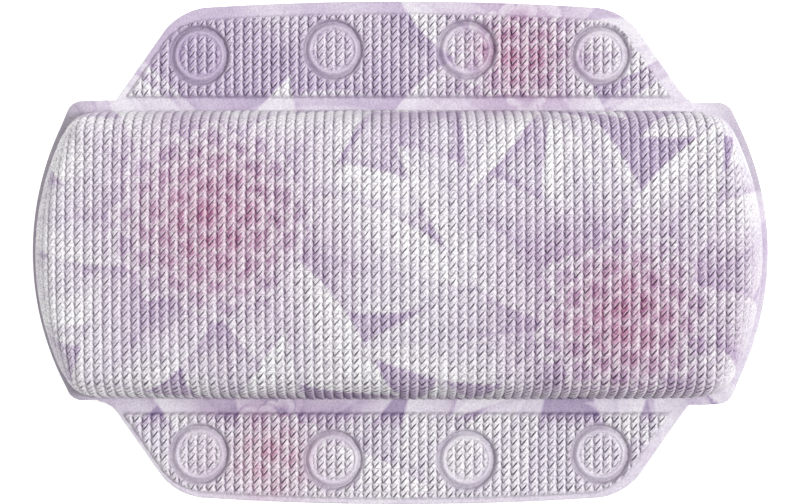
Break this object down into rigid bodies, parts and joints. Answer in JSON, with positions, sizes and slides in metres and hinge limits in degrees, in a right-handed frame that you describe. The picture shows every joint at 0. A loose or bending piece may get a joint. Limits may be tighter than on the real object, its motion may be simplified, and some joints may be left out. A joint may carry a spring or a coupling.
{
  "type": "bath pillow",
  "caption": "Soft foam bath pillow with an embossed printed cover, a folding flap along each long side and clear suction cups behind the flaps.",
  "frame": {"origin": "on the floor under the middle of the cushion, with the pillow lying on its back and suction cups", "axes": "+X along the width, to the right seen from the front; +Y from the lower flap to the upper flap; +Z out of the printed front"},
  "size_m": [0.32, 0.22, 0.0536],
  "materials": {
    "printed_cover": "satin",
    "back_sheet": "satin",
    "foam": "matte",
    "clear_cup": "gloss"
  },
  "bodies": {
    "cushion": {"cushion_front_cover": "printed_cover", "cushion_back_sheet": "back_sheet", "foam_core": "foam"},
    "upper_flap": {"upper_flap_cover": "printed_cover", "upper_flap_back": "back_sheet"},
    "lower_flap": {"lower_flap_cover": "printed_cover", "lower_flap_back": "back_sheet"},
    "cup_upper_1": {"suction_cup_upper_1": "clear_cup"},
    "cup_upper_2": {"suction_cup_upper_2": "clear_cup"},
    "cup_upper_3": {"suction_cup_upper_3": "clear_cup"},
    "cup_upper_4": {"suction_cup_upper_4": "clear_cup"},
    "cup_lower_1": {"suction_cup_lower_1": "clear_cup"},
    "cup_lower_2": {"suction_cup_lower_2": "clear_cup"},
    "cup_lower_3": {"suction_cup_lower_3": "clear_cup"},
    "cup_lower_4": {"suction_cup_lower_4": "clear_cup"}
  },
  "joints": [
    {"name": "upper_flap_fold", "type": "hinge", "parent": "cushion", "child": "upper_flap", "pos_m": [0, 0.0662, 0.0107], "axis": [1, 0, 0], "range_deg": [-90, 80], "stiffness_Nm_per_rad": 0.06},
    {"name": "lower_flap_fold", "type": "hinge", "parent": "cushion", "child": "lower_flap", "pos_m": [0, -0.0662, 0.0107], "axis": [-1, 0, 0], "range_deg": [-90, 80], "stiffness_Nm_per_rad": 0.06},
    {"name": "cup_press_upper_1", "type": "slide", "parent": "upper_flap", "child": "cup_upper_1", "axis": [0, 0, 1], "range_m": [0, 0.0035], "stiffness_N_per_m": 600, "deforming": ["suction_cup_upper_1"]},
    {"name": "cup_press_upper_2", "type": "slide", "parent": "upper_flap", "child": "cup_upper_2", "axis": [0, 0, 1], "range_m": [0, 0.0035], "stiffness_N_per_m": 600, "deforming": ["suction_cup_upper_2"]},
    {"name": "cup_press_upper_3", "type": "slide", "parent": "upper_flap", "child": "cup_upper_3", "axis": [0, 0, 1], "range_m": [0, 0.0035], "stiffness_N_per_m": 600, "deforming": ["suction_cup_upper_3"]},
    {"name": "cup_press_upper_4", "type": "slide", "parent": "upper_flap", "child": "cup_upper_4", "axis": [0, 0, 1], "range_m": [0, 0.0035], "stiffness_N_per_m": 600, "deforming": ["suction_cup_upper_4"]},
    {"name": "cup_press_lower_1", "type": "slide", "parent": "lower_flap", "child": "cup_lower_1", "axis": [0, 0, 1], "range_m": [0, 0.0035], "stiffness_N_per_m": 600, "deforming": ["suction_cup_lower_1"]},
    {"name": "cup_press_lower_2", "type": "slide", "parent": "lower_flap", "child": "cup_lower_2", "axis": [0, 0, 1], "range_m": [0, 0.0035], "stiffness_N_per_m": 600, "deforming": ["suction_cup_lower_2"]},
    {"name": "cup_press_lower_3", "type": "slide", "parent": "lower_flap", "child": "cup_lower_3", "axis": [0, 0, 1], "range_m": [0, 0.0035], "stiffness_N_per_m": 600, "deforming": ["suction_cup_lower_3"]},
    {"name": "cup_press_lower_4", "type": "slide", "parent": "lower_flap", "child": "cup_lower_4", "axis": [0, 0, 1], "range_m": [0, 0.0035], "stiffness_N_per_m": 600, "deforming": ["suction_cup_lower_4"]}
  ]
}
